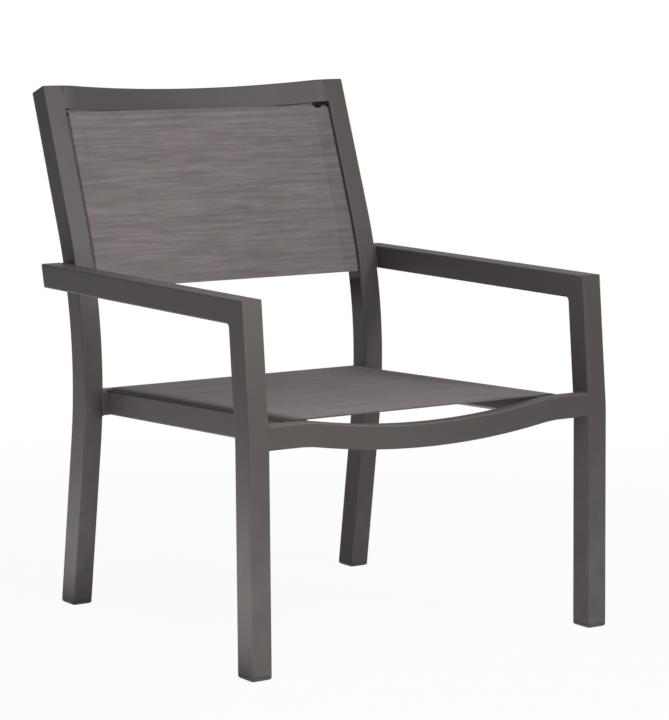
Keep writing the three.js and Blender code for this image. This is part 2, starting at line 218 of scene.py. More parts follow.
class BentLine:
    """Front line of a bent tube: a straight, an arc of one radius, a straight, in the side plane."""

    def __init__(self, foot, lean_below, lean_above, bend_from, bend_radius):
        self.foot = foot
        self.lean_below = lean_below
        self.lean_above = lean_above
        self.bend_from = bend_from
        self.bend_to = bend_from + bend_radius * (lean_above - lean_below)
        self.radius = bend_radius

    def lean(self, run):
        """Angle from the vertical: it grows with the run over the arc, by 1 / radius."""
        run = np.clip(run, self.bend_from, self.bend_to)
        return self.lean_below + (run - self.bend_from) / self.radius

    def at(self, run, depth, x):
        """Points at a run, a depth and x: the line's integral, plus the depth along its normal."""
        angle = self.lean(run)
        below = np.minimum(run, self.bend_from)
        above = np.maximum(run - self.bend_to, 0)
        y = self.foot + below * sin(self.lean_below) + above * sin(self.lean_above)
        y = y + self.radius * (cos(self.lean_below) - np.cos(angle)) + depth * np.cos(angle)
        z = below * cos(self.lean_below) + above * cos(self.lean_above)
        z = z + self.radius * (np.sin(angle) - sin(self.lean_below)) - depth * np.sin(angle)
        return points(x, y + LEG_FRONT_Y, z)

    def over_glide(self, depth):
        """Run at which a point at a depth lies level with the glide's top."""
        return (GLIDE_HEIGHT + depth * sin(self.lean_below)) / cos(self.lean_below)


leg_line = BentLine(
    foot=0, lean_below=radians(0.8), lean_above=radians(5.37), bend_from=0.3658, bend_radius=0.250
)
post_line = BentLine(
    foot=0.6482, lean_below=radians(-8.06), lean_above=radians(20.2), bend_from=0.2902, bend_radius=0.7888
)


def upward(lean):
    """The way up a tube that leans backwards by an angle."""
    return np.array([0, sin(lean), cos(lean)])


def backward(lean):
    """The way to the rear, square to a tube that leans backwards by an angle."""
    return np.array([0, cos(lean), -sin(lean)])


def bow_at(x, start, ease, depth):
    """How far a rail has left its straight line at x: a parabola whose ends ease in over a length."""
    middle = start - ease
    curvature = 2 * depth / (start * middle)
    away = np.abs(x)
    eased = curvature * middle * (start - away) ** 2 / (2 * ease)
    return np.where(away >= start, 0, np.where(away > middle, eased, depth - curvature * x * x / 2))


def corner_outline(centres, radii, starts, turns):
    """Round corners joined by straights: arc points at centre + radius (cos, sin), with one point
    just before and one just after each arc, so that a flat face shades flat."""
    angle = np.array(starts)[:, None] + np.array(turns)[:, None] * np.linspace(0, 1, CORNER_STEPS + 1)
    ray = np.stack([np.cos(angle), np.sin(angle)], axis=-1)
    arcs = np.array(centres)[:, None, :] + np.array(radii)[:, None, None] * ray
    tangent = np.stack([-np.sin(angle), np.cos(angle)], axis=-1) * np.sign(turns)[:, None, None]
    before = arcs[:, :1] - CORNER_SUPPORT * tangent[:, :1]
    after = arcs[:, -1:] + CORNER_SUPPORT * tangent[:, -1:]
    return np.concatenate([before, arcs, after], axis=1).reshape(-1, 2)


def tube_outline(x, y, width, depth, radius):
    """Rectangle from (x, y) with round corners, counter-clockwise from the corner at (x, y)."""
    low_x, high_x, low_y, high_y = x + radius, x + width - radius, y + radius, y + depth - radius
    centres = [(low_x, low_y), (high_x, low_y), (high_x, high_y), (low_x, high_y)]
    return corner_outline(centres, [radius] * 4, [pi, 1.5 * pi, 0, 0.5 * pi], [0.5 * pi] * 4)


CORNER_EDGE = np.array([0] + [1] * (CORNER_STEPS + 1) + [0], float)
TUBE_EDGE = np.tile(CORNER_EDGE, 4)


def smooth_step(value):
    """0 for a value below 0, 1 above 1, and 3 v^2 - 2 v^3 between them."""
    value = np.clip(value, 0, 1)
    return value * value * (3 - 2 * value)


def fading(distance, amount, reach, fade):
    """An amount that falls to 0 at a reach, by a smooth step over the length before it."""
    return amount * smooth_step((reach - distance) / fade)


def points(x, y, z):
    """Points from x, y and z, broadcast over each other."""
    return np.stack(np.broadcast_arrays(x, y, z), axis=-1)


def fine_ends(low, high, margin, coarse):
    """Places from low to high, the fine step apart within a margin of either end, a coarse one between."""
    fine = FINE_STEP * np.arange(int(round(margin / FINE_STEP)))
    middle = np.linspace(low + margin, high - margin, int((high - low - 2 * margin) / coarse) + 2)
    return np.concatenate([low + fine, middle, high - fine[::-1]])


def strip_faces(rings, around):
    """Quads between the rings of a grid. Each ring counts so many points around and closes on itself."""
    ring = np.arange(rings - 1)[:, None] * around
    here = np.arange(around)[None, :]
    there = (here + 1) % around
    quads = [ring + here, ring + there, ring + around + there, ring + around + here]
    return np.stack(quads, axis=-1).reshape(-1, 4)


def add_to_scene(name, data):
    """A new object in the scene for a mesh, a lamp or a camera."""
    thing = bpy.data.objects.new(name, data)
    bpy.context.scene.collection.objects.link(thing)
    return thing


def piece(name, grid, material, slot, replaces=(), mirror=False, sharp=35, uv=None, ring=False, **fields):
    """A closed solid from a grid of rings, or from a stack of such grids: quads between the rings,
    and one face over each end, or none where the last ring meets the first. Fields are values at the
    points that the material reads by name."""
    stack = grid.reshape(-1, *grid.shape[-3:])
    count, rings, around = stack.shape[:3]
    vertices = grid.reshape(-1, 3) * ((-1, 1, 1) if mirror else (1, 1, 1))
    faces = strip_faces(rings + ring, around) % (rings * around)
    start = np.arange(count)[:, None, None] * rings * around
    faces = (faces + start).reshape(-1, 4).tolist()
    if not ring:
        ends = np.array([np.arange(around), np.arange(around) + (rings - 1) * around]) + start
        faces += ends.reshape(-1, around).tolist()
    mesh = bpy.data.meshes.new(name)
    mesh.from_pydata(vertices.tolist(), [], faces)
    for field, values in fields.items():
        layer = mesh.attributes.new(field, "FLOAT", "POINT")
        values = np.broadcast_to(values, grid.shape[:-1]).astype(np.float32)
        layer.data.foreach_set("value", values.ravel())
    if uv is not None:
        layer = mesh.uv_layers.new(name="cloth")
        corner = np.empty(len(mesh.loops), int)
        mesh.loops.foreach_get("vertex_index", corner)
        layer.data.foreach_set("uv", uv.reshape(-1, 2)[corner].ravel())
    shell = bmesh.new()
    shell.from_mesh(mesh)
    bmesh.ops.recalc_face_normals(shell, faces=shell.faces)
    shell.to_mesh(mesh)
    shell.free()
    mesh.polygons.foreach_set("use_smooth", np.ones(len(mesh.polygons), bool))
    mesh.set_sharp_from_angle(angle=radians(sharp))
    mesh.materials.append(material)
    thing = add_to_scene(name, mesh)
    if replaces:
        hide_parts(*replaces)
    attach(thing, "root")
    return thing


def pair(name, grid, material, slot, replaces=True, **more):
    """The same piece on both sides of the chair; the left one is its mirror image."""
    for side, mirror in (("right", False), ("left", True)):
        label = f"{name}_{side}"
        piece(label, grid, material, slot, (label,) if replaces else (), mirror, **more)


class Wiring:
    """Adds nodes to a tree. An input may be a number, a colour, a vector or another node's socket."""

    def __init__(self, tree):
        self.tree = tree

    def put(self, node, inputs):
        """Sets a node's inputs or links them."""
        for key, value in inputs.items():
            if isinstance(value, bpy.types.NodeSocket):
                self.tree.links.new(value, node.inputs[key])
            else:
                node.inputs[key].default_value = value

    def add(self, kind, inputs, **settings):
        """A new shader node of a kind, with its settings and its inputs."""
        node = self.tree.nodes.new("ShaderNode" + kind)
        for key, value in settings.items():
            setattr(node, key, value)
        self.put(node, inputs)
        return node

    def math(self, operation, a, b=0.0, c=0.0):
        return self.add("Math", {0: a, 1: b, 2: c}, operation=operation).outputs[0]

    def times(self, a, b):
        return self.math("MULTIPLY", a, b)

    def line(self, value, slope, start):
        """The value times a slope, plus a start."""
        return self.math("MULTIPLY_ADD", value, slope, start)

    def axis(self, place, name):
        """One of a vector's three parts."""
        return self.add("SeparateXYZ", {0: place}).outputs[name]

    def stretch(self, place, scale):
        """A place with each axis multiplied by its own scale."""
        return self.add("VectorMath", {0: place, 1: scale}, operation="MULTIPLY").outputs[0]

    def noise(self, place, scale, detail=2.0):
        return self.add("TexNoise", {"Vector": place, "Scale": scale, "Detail": detail}).outputs[0]

    def remap(self, value, low, high, to_low=0.0, to_high=1.0):
        """A value carried from one range to another, smooth at both ends and clamped."""
        ends = {"Value": value, "From Min": low, "From Max": high, "To Min": to_low, "To Max": to_high}
        return self.add("MapRange", ends, interpolation_type="SMOOTHSTEP").outputs[0]

    def blend(self, share, first, second, how="MIX"):
        """Two colours blended by a share."""
        ends = {0: share, 6: first, 7: second}
        return self.add("Mix", ends, data_type="RGBA", blend_type=how).outputs[2]

    def shade(self, colour, amount, value):
        """A colour times 1 + amount x (value - 1/2)."""
        factor = self.line(value, amount, 1 - amount / 2)
        grey = self.add("CombineXYZ", {0: factor, 1: factor, 2: factor}).outputs[0]
        return self.blend(1.0, colour, grey, "MULTIPLY")

    def bump(self, height, distance, strength):
        """A normal that leans with a height."""
        inputs = {"Height": height, "Distance": distance, "Strength": strength}
        return self.add("Bump", inputs).outputs[0]

    def use(self, group, inputs):
        """A node group placed in this tree with its own values."""
        return self.add("Group", inputs, node_tree=group).outputs

    def field(self, name):
        """A value that the mesh holds at its points."""
        return self.add("Attribute", {}, attribute_name=name).outputs["Fac"]


def node_group(name, inputs, outputs):
    """A shader group with named inputs and outputs: its tree, its wiring, what it is given and its
    output node. The input Place is a vector, and all the others are values."""
    group = bpy.data.node_groups.new(name, "ShaderNodeTree")
    for label in inputs:
        kind = "NodeSocketVector" if label == "Place" else "NodeSocketFloat"
        group.interface.new_socket(label, in_out="INPUT", socket_type=kind)
    for label in outputs:
        group.interface.new_socket(label, in_out="OUTPUT", socket_type="NodeSocketFloat")
    given = group.nodes.new("NodeGroupInput").outputs
    return group, Wiring(group), given, group.nodes.new("NodeGroupOutput")


GRAINS_PER_MOTTLE = 40.0
STREAK_MEAN = 0.91


def fine_grain():
    """Height of a fine grain, and a broad mottle forty times coarser, both about one half."""
    group, wire, given, out = node_group("fine_grain", ["Place", "Grains per metre"], ["Height", "Mottle"])
    coarse = wire.math("DIVIDE", given["Grains per metre"], GRAINS_PER_MOTTLE)
    height = wire.noise(given["Place"], given["Grains per metre"], 3.0)
    wire.put(out, {"Height": height, "Mottle": wire.noise(given["Place"], coarse, 3.0)})
    return group


def worn_and_highlit_edges():
    """The mesh's edge value, broken up by a noise, times an amount: a lighter edge, partly wear and partly
    a painted highlight.
    """
    group, wire, given, out = node_group("worn_and_highlit_edges", ["Place", "Edge", "Amount"], ["Mask"])
    patches = wire.remap(wire.noise(given["Place"], 130.0), 0.35, 0.7, 0.45, 1.0)
    wire.put(out, {"Mask": wire.times(wire.times(given["Edge"], patches), given["Amount"])})
    return group


def dust_and_floor_light():
    """Dust where the surface looks up, a smooth step of the normal's height, and painted floor light
    that makes it lighter low down, a smooth step of the place's height: both patchy by a noise, each
    with its amount."""
    inputs = ["Place", "Amount", "Floor light height", "Floor light amount"]
    group, wire, given, out = node_group("dust_and_floor_light", inputs, ["Mask"])
    looks_up = wire.axis(wire.add("NewGeometry", {}).outputs["Normal"], "Z")
    settled = wire.times(wire.remap(looks_up, 0.45, 0.95), given["Amount"])
    patches = wire.remap(wire.noise(given["Place"], 26.0, 4.0), 0.3, 0.7, 0.6, 1.0)
    above_floor = wire.math("DIVIDE", wire.axis(given["Place"], "Z"), given["Floor light height"])
    floor_light = wire.remap(above_floor, 0.0, 1.0, 1.0, 0.0)
    both = wire.line(floor_light, given["Floor light amount"], settled)
    wire.put(out, {"Mask": wire.times(both, patches)})
    return group


def sling_weave():
    """Plain weave of round threads: each thread's height is 1 - (2 frac(place x count) - 1)^2, and
    the two sets take turns on top by the parity of their floors."""
    inputs = ["Place", "Threads across", "Threads along"]
    group, wire, given, out = node_group("sling_weave", inputs, ["Height", "Gap shade"])
    across = wire.times(wire.axis(given["Place"], "X"), given["Threads across"])
    along = wire.times(wire.axis(given["Place"], "Y"), given["Threads along"])

    def thread(count):
        bow = wire.line(wire.math("FRACT", count), 2.0, -1.0)
        return wire.math("SUBTRACT", 1.0, wire.times(bow, bow))

    warp, weft = thread(across), thread(along)
    floors = wire.math("ADD", wire.math("FLOOR", across), wire.math("FLOOR", along))
    turn = wire.math("PINGPONG", floors, 1.0)
    weft_up = wire.times(weft, wire.line(turn, 0.35, 0.65))
    warp_up = wire.times(warp, wire.line(turn, -0.45, 0.85))
    # 1 between the threads, where the cloth is darkened as painted shade
    gap_shade = wire.times(wire.math("SUBTRACT", 1.0, weft), wire.math("SUBTRACT", 1.0, warp))
    wire.put(out, {"Height": wire.math("MAXIMUM", weft_up, warp_up), "Gap shade": gap_shade})
    return group


def slub_streaks_and_glints():
    """Light and dark thread runs, long across the sling and thin along it: three stretched noises
    about zero, with painted glints from the brightest runs of a fourth, and a broad tint."""
    group, wire, given, out = node_group("slub_streaks_and_glints", ["Place", "Amount"], ["Tone", "Tint"])

    def runs(across, along, detail):
        return wire.noise(wire.stretch(given["Place"], (across, along, 1)), 1.0, detail)

    broad_runs, long_runs, short_runs = runs(4, 45, 1.0), runs(10, 150, 1.5), runs(30, 480, 2.0)
    # Painted glints: the brightest runs of a fourth noise
    painted_glints = wire.remap(runs(17, 260, 1.0), 0.58, 0.80, 0.0, 0.30)
    total = wire.line(broad_runs, 0.45, wire.line(long_runs, 0.85, painted_glints))
    total = wire.line(short_runs, 0.50, wire.math("ADD", total, -STREAK_MEAN))
    tint = wire.remap(runs(5, 7, 2.0), 0.35, 0.65)
    wire.put(out, {"Tone": wire.times(total, given["Amount"]), "Tint": tint})
    return group


grain = fine_grain()
edge_wear_and_highlight = worn_and_highlit_edges()
dust_and_light = dust_and_floor_light()
weave = sling_weave()
streaks_and_glints = slub_streaks_and_glints()

PAINT_COLOUR = (0.0955, 0.083, 0.079, 1)
EDGE_WEAR_AND_HIGHLIGHT_COLOUR = (0.169, 0.154, 0.149, 1)
PAINTED_SHADE_COLOUR = (0.012, 0.010, 0.009, 1)
DUST_AND_LIGHT_COLOUR = (0.26, 0.245, 0.235, 1)
CLOTH_ROSE = (0.199, 0.173, 0.1715, 1)
CLOTH_GREEN = (0.189, 0.1735, 0.170, 1)
STREAK_CONTRAST = 0.85
HEM_AND_SHADE_COLOUR = (0.152, 0.131, 0.131, 1)
HEM_SHADE = 0.5
CLOTH_SHADE_COLOUR = (0.002, 0.002, 0.002, 1)
THREAD_COLOUR = (0.13, 0.12, 0.118, 1)
VINYL_COLOUR = (0.012, 0.012, 0.012, 1)
NYLON_COLOUR = (0.110, 0.102, 0.100, 1)
NYLON_SCUFFED = (0.24, 0.23, 0.22, 1)
FLOOR_COLOUR = (0.85, 0.85, 0.85, 1)
WHITE = (1, 1, 1, 1)
FLOOR_WHITE = 0.95
FLOOR_MIRRORED = 0.85
SKY_MIRRORED = 0.45
SKY_LIGHT = 0.1


def finish(name, grains_per_metre):
    """A new material: its wiring, its Principled shader, the object's own coordinates and a grain."""
    material = bpy.data.materials.new(name)
    material.use_nodes = True
    wire = Wiring(material.node_tree)
    place = wire.add("TexCoord", {}).outputs["Object"]
    fine = wire.use(grain, {"Place": place, "Grains per metre": grains_per_metre})
    return material, wire, material.node_tree.nodes["Principled BSDF"], place, fine


def powder_coat():
    """Satin charcoal powder coat: fine grain and orange peel, thinner and lighter on the corners, as wear
    and as a painted highlight, a little dust on top, painted floor light low down, and painted shade
    beside the cloth, under the top rail and inside the posts."""
    material, wire, shader, place, fine = finish("charcoal_powder_coat", 2600.0)
    peel = wire.use(grain, {"Place": place, "Grains per metre": 420.0})
    # Lighter corners: partly wear, partly a painted highlight
    worn_and_highlit = wire.use(edge_wear_and_highlight, {"Place": place, "Edge": wire.field("edge"), "Amount": 0.18})["Mask"]
    # Dust on top, and painted floor light that is lighter towards the floor
    floor_lit = {"Floor light height": 0.45, "Floor light amount": 0.50}
    dust_and_light_mask = wire.use(dust_and_light, {"Place": place, "Amount": 0.09, **floor_lit})["Mask"]
    # Painted shade: near black where shadow falls beside the cloth, under the top rail and inside the
    # posts, and rougher there
    shaded_dark = wire.field("grime")
    colour = wire.shade(PAINT_COLOUR, 0.10, peel["Mottle"])
    colour = wire.shade(colour, 0.14, fine["Height"])
    colour = wire.blend(worn_and_highlit, colour, EDGE_WEAR_AND_HIGHLIGHT_COLOUR)
    colour = wire.blend(dust_and_light_mask, colour, DUST_AND_LIGHT_COLOUR)
    colour = wire.blend(shaded_dark, colour, PAINTED_SHADE_COLOUR)
    rough = wire.line(shaded_dark, 0.4, wire.line(fine["Mottle"], 0.12, 0.35))
    height = wire.line(fine["Height"], 0.5, peel["Height"])
    wire.put(shader, {
        "Base Color": colour,
        "Specular IOR Level": 0.3,
        "Roughness": wire.line(dust_and_light_mask, 0.5, rough),
        "Normal": wire.bump(height, 0.00012, 0.5),
    })
    return material


def sling_cloth():
    """Woven sling: round threads with painted shade in their gaps, slubs with painted glints, a soft
    tint, a denser hem that is darker partly as painted shade, and painted shade inside the hem's open
    end and beside the channels."""
    material = bpy.data.materials.new("taupe_sling_weave")
    material.use_nodes = True
    wire = Wiring(material.node_tree)
    place = wire.add("TexCoord", {}).outputs["Object"]
    uv = wire.add("UVMap", {}, uv_map="cloth").outputs[0]
    threads = wire.use(weave, {"Place": uv, "Threads across": 620.0, "Threads along": 900.0})
    slub_and_glint = wire.use(streaks_and_glints, {"Place": uv, "Amount": 1.0})
    no_floor_light = {"Floor light height": 0.1, "Floor light amount": 0.0}
    dust_and_light_mask = wire.use(dust_and_light, {"Place": place, "Amount": 0.05, **no_floor_light})["Mask"]
    tinted = wire.blend(slub_and_glint["Tint"], CLOTH_ROSE, CLOTH_GREEN)
    # The hem's darker colour: the double cloth, and painted shade that is stronger on one side
    ragged = wire.line(wire.noise(wire.stretch(uv, (30, 160, 1)), 1.0), 0.9, wire.field("hem"))
    colour = wire.blend(wire.remap(ragged, 0.7, 1.35, 0.0, HEM_SHADE), tinted, HEM_AND_SHADE_COLOUR)
    colour = wire.shade(colour, 1.0, wire.line(slub_and_glint["Tone"], STREAK_CONTRAST, 0.5))
    # Painted shade in the gaps between threads
    colour = wire.shade(colour, -0.5, threads["Gap shade"])
    colour = wire.blend(dust_and_light_mask, colour, DUST_AND_LIGHT_COLOUR)
    # Painted shade: near black inside the hems' mouths and in the folds beside the channels
    colour = wire.blend(wire.field("pocket"), colour, CLOTH_SHADE_COLOUR)
    height = wire.line(slub_and_glint["Tone"], 0.6, threads["Height"])
    wire.put(material.node_tree.nodes["Principled BSDF"], {
        "Base Color": colour,
        "Roughness": wire.line(threads["Height"], -0.12, 0.80),
        "Sheen Weight": 0.03,
        "Sheen Roughness": 0.5,
        "Specular IOR Level": 0.1,
        "Normal": wire.bump(height, 0.00022, 0.6),
    })
    return material


def sewing_thread():
    """Bonded polyester thread: fine twist lines across a charcoal colour."""
    material, wire, shader, place, twist = finish("charcoal_sewing_thread", 5200.0)
    wire.put(shader, {
        "Base Color": wire.shade(THREAD_COLOUR, 0.5, twist["Height"]),
        "Roughness": wire.line(twist["Mottle"], 0.2, 0.5),
        "Normal": wire.bump(twist["Height"], 0.00008, 0.5),
    })
    return material


def black_vinyl():
    """Extruded vinyl rod: faint draw lines and a dull gloss."""
    material, wire, shader, place, fine = finish("black_spline_vinyl", 1500.0)
    wire.put(shader, {
        "Base Color": wire.shade(VINYL_COLOUR, 0.6, fine["Mottle"]),
        "Roughness": wire.line(fine["Mottle"], 0.25, 0.42),
        "Normal": wire.bump(fine["Height"], 0.00005, 0.4),
    })
    return material


def charcoal_nylon():
    """Moulded nylon glide: a matt spark-eroded grain, rubbed lighter towards the floor."""
    material, wire, shader, place, fine = finish("charcoal_nylon", 1900.0)
    low_down = wire.remap(wire.axis(place, "Z"), 0.0, 0.004, 1.0, 0.0)
    scuffed = wire.times(low_down, wire.remap(fine["Mottle"], 0.4, 0.65))
    colour = wire.shade(NYLON_COLOUR, 0.25, fine["Height"])
    wire.put(shader, {
        "Base Color": wire.blend(wire.times(scuffed, 0.35), colour, NYLON_SCUFFED),
        "Roughness": wire.line(fine["Mottle"], 0.2, 0.48),
        "Normal": wire.bump(fine["Height"], 0.0001, 0.5),
    })
    return material


def seen_ray(wire):
    """1 for the rays that the eye, a mirror or a glass sends, 0 for those that only light."""
    ray = wire.add("LightPath", {}).outputs
    mirrored = wire.math("MAXIMUM", ray["Is Glossy Ray"], ray["Is Transmission Ray"])
    return wire.math("MAXIMUM", ray["Is Camera Ray"], mirrored)


def white_light(wire, mirrored):
    """Strength of a white that the eye sees in full and the paint's gloss in part."""
    camera_ray = wire.add("LightPath", {}).outputs["Is Camera Ray"]
    return wire.line(camera_ray, 1.0 - mirrored, mirrored)


def pale_floor():
    """A pale matt floor that the camera sees as white: it mixes its own light with a plain diffuse,
    which keeps a faint shadow under the chair and fades out away from it."""
    material, wire, shader, place, speck = finish("pale_floor", 300.0)
    wire.put(shader, {"Base Color": wire.shade(FLOOR_COLOUR, 0.02, speck["Mottle"]), "Roughness": 0.9})
    shining = {"Color": WHITE, "Strength": white_light(wire, FLOOR_MIRRORED)}
    glow = wire.add("Emission", shining).outputs[0]
    away = wire.add("VectorMath", {0: place}, operation="LENGTH").outputs["Value"]
    share = wire.times(seen_ray(wire), wire.remap(away, 0.9, 2.2, FLOOR_WHITE, 1.0))
    mixed = wire.add("MixShader", {0: share, 1: shader.outputs[0], 2: glow}).outputs[0]
    wire.put(material.node_tree.nodes["Material Output"], {"Surface": mixed})
    return material


paint = powder_coat()
cloth = sling_cloth()
thread = sewing_thread()
vinyl = black_vinyl()
nylon = charcoal_nylon()

# Arms and front legs meet in a mitre, from the outer corner on top to the inner one below
arm_heading = np.array([0, cos(ARM_RISE), sin(ARM_RISE)])
arm_down = np.array([0, sin(ARM_RISE), -cos(ARM_RISE)])
bend_height = leg_line.at(leg_line.bend_from, 0, 0)[2]
leg_run = leg_line.bend_from + (ARM_TOP - bend_height) / cos(leg_line.lean_above)
mitre_lean = leg_line.lean_above + ARM_RISE
outer_corner = leg_line.at(leg_run, 0, 0)
inner_corner = outer_corner + arm_down * ARM_DEPTH
inner_corner = inner_corner + arm_heading * (LEG_DEPTH / cos(mitre_lean) - ARM_DEPTH * tan(mitre_lean))
mitre = (inner_corner - outer_corner) / np.linalg.norm(inner_corner - outer_corner)
mitre_normal = np.array([0, -mitre[2], mitre[1]])
leg_up = upward(leg_line.lean_above)
leg_back = backward(leg_line.lean_above)

# The arm's rear cut is square to the post where the arm meets it
arm_end_lean = float(post_line.lean((ARM_TOP - ARM_DEPTH / 2) / cos(post_line.lean_below)))
arm_end_normal = backward(arm_end_lean)
arm_length = (ARM_END + LEG_FRONT_Y - outer_corner[1]) / arm_heading[1]
arm_length -= CAP_THICKNESS / cos(arm_end_lean + ARM_RISE)


def front_leg():
    """Tube outline along the leg line, from the level cut over the glide to the mitre plane."""
    x, depth = tube_outline(ARM_INNER_X, 0, TUBE_WIDTH, LEG_DEPTH, TUBE_CORNER).T
    foot = leg_line.over_glide(depth)
    head = leg_run - depth * (leg_back @ mitre_normal) / (leg_up @ mitre_normal)
    run = foot + np.linspace(0, 1, 70)[:, None] * (head - foot)
    return leg_line.at(run, depth, x)


def arm_points(along, depth, x):
    """Points of the arm: along its heading from the mitre's outer corner, and depth below its top."""
    along, depth, x = np.broadcast_arrays(along, depth, x)
    grid = outer_corner + along[..., None] * arm_heading + depth[..., None] * arm_down
    grid[..., 0] = x
    return grid


def arm_rear(depth):
    """How far along the arm its rear cut lies, at a depth below the arm's top."""
    return arm_length - depth * (arm_down @ arm_end_normal) / (arm_heading @ arm_end_normal)


def arm():
    """Tube outline along the arm, from the mitre plane to the cut square to the post behind it."""
    x, depth = tube_outline(ARM_INNER_X, 0, TUBE_WIDTH, ARM_DEPTH, TUBE_CORNER).T
    front = -depth * (arm_down @ mitre_normal) / (arm_heading @ mitre_normal)
    return arm_points(front + np.linspace(0, 1, 24)[:, None] * (arm_rear(depth) - front), depth, x)


def channel_outline():
    """The spline channel's outline, across its mouth and deep in the tube: a lip, a round bore and
    the lip on the other side."""
    half = asin(MOUTH_WIDTH / 2 / BORE_RADIUS)
    angle = np.linspace(pi - half, half - pi, BORE_POINTS)
    bore = np.stack([BORE_RADIUS * np.sin(angle), BORE_DEPTH + BORE_RADIUS * np.cos(angle)], -1)
    lips = np.array([[MOUTH_WIDTH / 2 + MOUTH_LIP, 0], [MOUTH_WIDTH / 2, MOUTH_LIP]])
    return np.concatenate([lips, bore, lips[::-1] * (-1, 1)]).T


def post_outline(open_share):
    """The post's outline with its spline channel in the inner face: at 0 the channel lies flat in
    the face, and at 1 it is open."""
    corners = tube_outline(0, 0, TUBE_WIDTH, POST_DEPTH, TUBE_CORNER)
    across, deep = channel_outline()
    flat = np.linspace(across[0], across[-1], len(across))
    depth = CHANNEL_FROM_FRONT + flat + open_share * (across - flat)
    return np.concatenate([corners, np.stack([open_share * deep, depth], -1)])


def back_post():
    """The post's outline along the post line, from the level cut over the glide to the cap, and its
    painted shade. The channel opens where the sling runs. Shade is painted inside below the sling's
    foot, where the sling shadows the post, and beside the seat rail's end, round the joint."""
    x, depth = post_outline(0).T
    foot, opens = post_line.over_glide(depth), BACK_SLING_FOOT - CHANNEL_BELOW_SLING
    closes, top = POST_RUN - TOP_RAIL_HEIGHT, POST_RUN - CAP_THICKNESS
    low = foot + np.linspace(0, 1, 60)[:, None] * (opens - foot)
    slot = np.linspace(opens + CHANNEL_END_WALL, closes - CHANNEL_END_WALL, 60)[:, None] + 0 * depth
    high = np.linspace(closes, top, 6)[:, None] + 0 * depth
    run = np.concatenate([low, slot, high])
    is_open = np.repeat([0, 1, 0], [len(low), len(slot), len(high)])
    outlines = np.stack([post_outline(0), post_outline(1)])[is_open]
    rising = np.where(run < opens, smooth_step((run - SHADE_FROM_RUN) / SHADE_EASE), 0)
    below_sling = SHADE_BELOW_SLING * rising * ((x < 0.0015) & (depth > 0.006))
    near_rail = smooth_step(1.6 - np.abs(run - SHADE_RAIL_RUN) / SHADE_RAIL_REACH)
    by_rail = SHADE_BY_RAIL * near_rail * ((x < 0.010) & (depth < 0.020))
    grid = post_line.at(run, outlines[..., 1], POST_INNER_X + outlines[..., 0])
    return grid, np.maximum(below_sling, by_rail)


def bowed_rail(run, height, setback, bow, overlap=0.0):
    """A tube between the posts, bowed backwards in the plane square to them at its middle height.
    Its ends run an overlap into the posts' round corners, and drop a little there on top."""
    middle = run + height / 2
    up = upward(float(post_line.lean(middle)))
    end = POST_INNER_X
    x = fine_ends(-end, end, SIDE_MARGIN, 0.009)
    x = np.concatenate([[-end - overlap], x, [end + overlap]]) if overlap else x
    centre = post_line.at(middle, setback + bow_at(x, end, BACK_RAIL_EASE, bow), x)
    tangent = np.gradient(centre, x, axis=0)
    tangent /= np.linalg.norm(tangent, axis=1, keepdims=True)
    back = -np.cross(up, tangent)
    back *= np.sign(back[:, 1:2])
    across, depth = tube_outline(-height / 2, 0, height, RAIL_DEPTH, RAIL_CORNER).T
    grid = centre[:, None] + across[:, None] * up + depth[:, None] * back[:, None]
    if overlap:
        grid[[0, -1]] -= RAIL_END_DROP * (across > height / 2 - RAIL_END_BAND)[:, None] * up
    return grid


def cross_rail(x, top, setback, height):
    """A tube across the chair: its outline hangs from the top line, square to it as seen from the front."""
    slope = np.gradient(top, x)
    length = np.sqrt(1 + slope**2)
    normal = np.stack([-slope / length, 0 * x, 1 / length], -1)
    depth, below = tube_outline(0, -height, RAIL_DEPTH, height, RAIL_CORNER).T
    line = points(x, setback + LEG_FRONT_Y, top)
    return line[:, None] + below[:, None] * normal[:, None] + depth[:, None] * np.array([0, 1, 0])


def front_rail():
    """Flat tube between the front legs whose top dips in the middle by the bow formula."""
    x = np.linspace(-ARM_INNER_X, ARM_INNER_X, 121)
    top = FRONT_RAIL_TOP - bow_at(x, FRONT_RAIL_DIP_START, FRONT_RAIL_EASE, FRONT_RAIL_DIP)
    return cross_rail(x, top, FRONT_RAIL_SETBACK, FRONT_RAIL_HEIGHT)


def rear_rail():
    """Straight tube between the posts, behind the seat."""
    x = np.linspace(-POST_INNER_X, POST_INNER_X, 13)
    return cross_rail(x, 0 * x + REAR_RAIL_TOP, REAR_RAIL_SETBACK, REAR_RAIL_HEIGHT)


def seat_fall(y):
    """Height of the side rails' top, which falls evenly to the rear."""
    return SIDE_RAIL_TOP - (y - SEAT_FRONT) * tan(SIDE_RAIL_FALL)


def along_seat(outline, start, end, steps):
    """An outline in x and height over the side rails' top, carried backwards along the seat's fall."""
    y = np.linspace(start, end, steps)[:, None]
    x, up = outline.T
    return points(x, y + LEG_FRONT_Y, seat_fall(y) + up)


def side_rail_outline():
    """The side rail's outline: tall outside, shallow inside, with the channel open to the top."""
    slope = atan2(SIDE_RAIL_OUTER_HEIGHT - SIDE_RAIL_INNER_HEIGHT, SIDE_RAIL_WIDTH)
    r = TUBE_CORNER
    lower_in, lower_out = r * tan((pi / 2 - slope) / 2), r * tan((pi / 2 + slope) / 2)
    left, right = SIDE_RAIL_INNER_X + r, SIDE_RAIL_OUTER_X - r
    centres = [
        (left, lower_in - SIDE_RAIL_INNER_HEIGHT),
        (right, lower_out - SIDE_RAIL_OUTER_HEIGHT),
        (right, -r),
        (left, -r),
    ]
    turns = [pi / 2 - slope, pi / 2 + slope, pi / 2, pi / 2]
    corners = corner_outline(centres, [r] * 4, [pi, 1.5 * pi - slope, 0, pi / 2], turns)
    across, deep = channel_outline()
    channel = np.stack([CHANNEL_X + across, -deep], -1)
    return np.insert(corners, 3 * CORNER_POINTS, channel, axis=0)


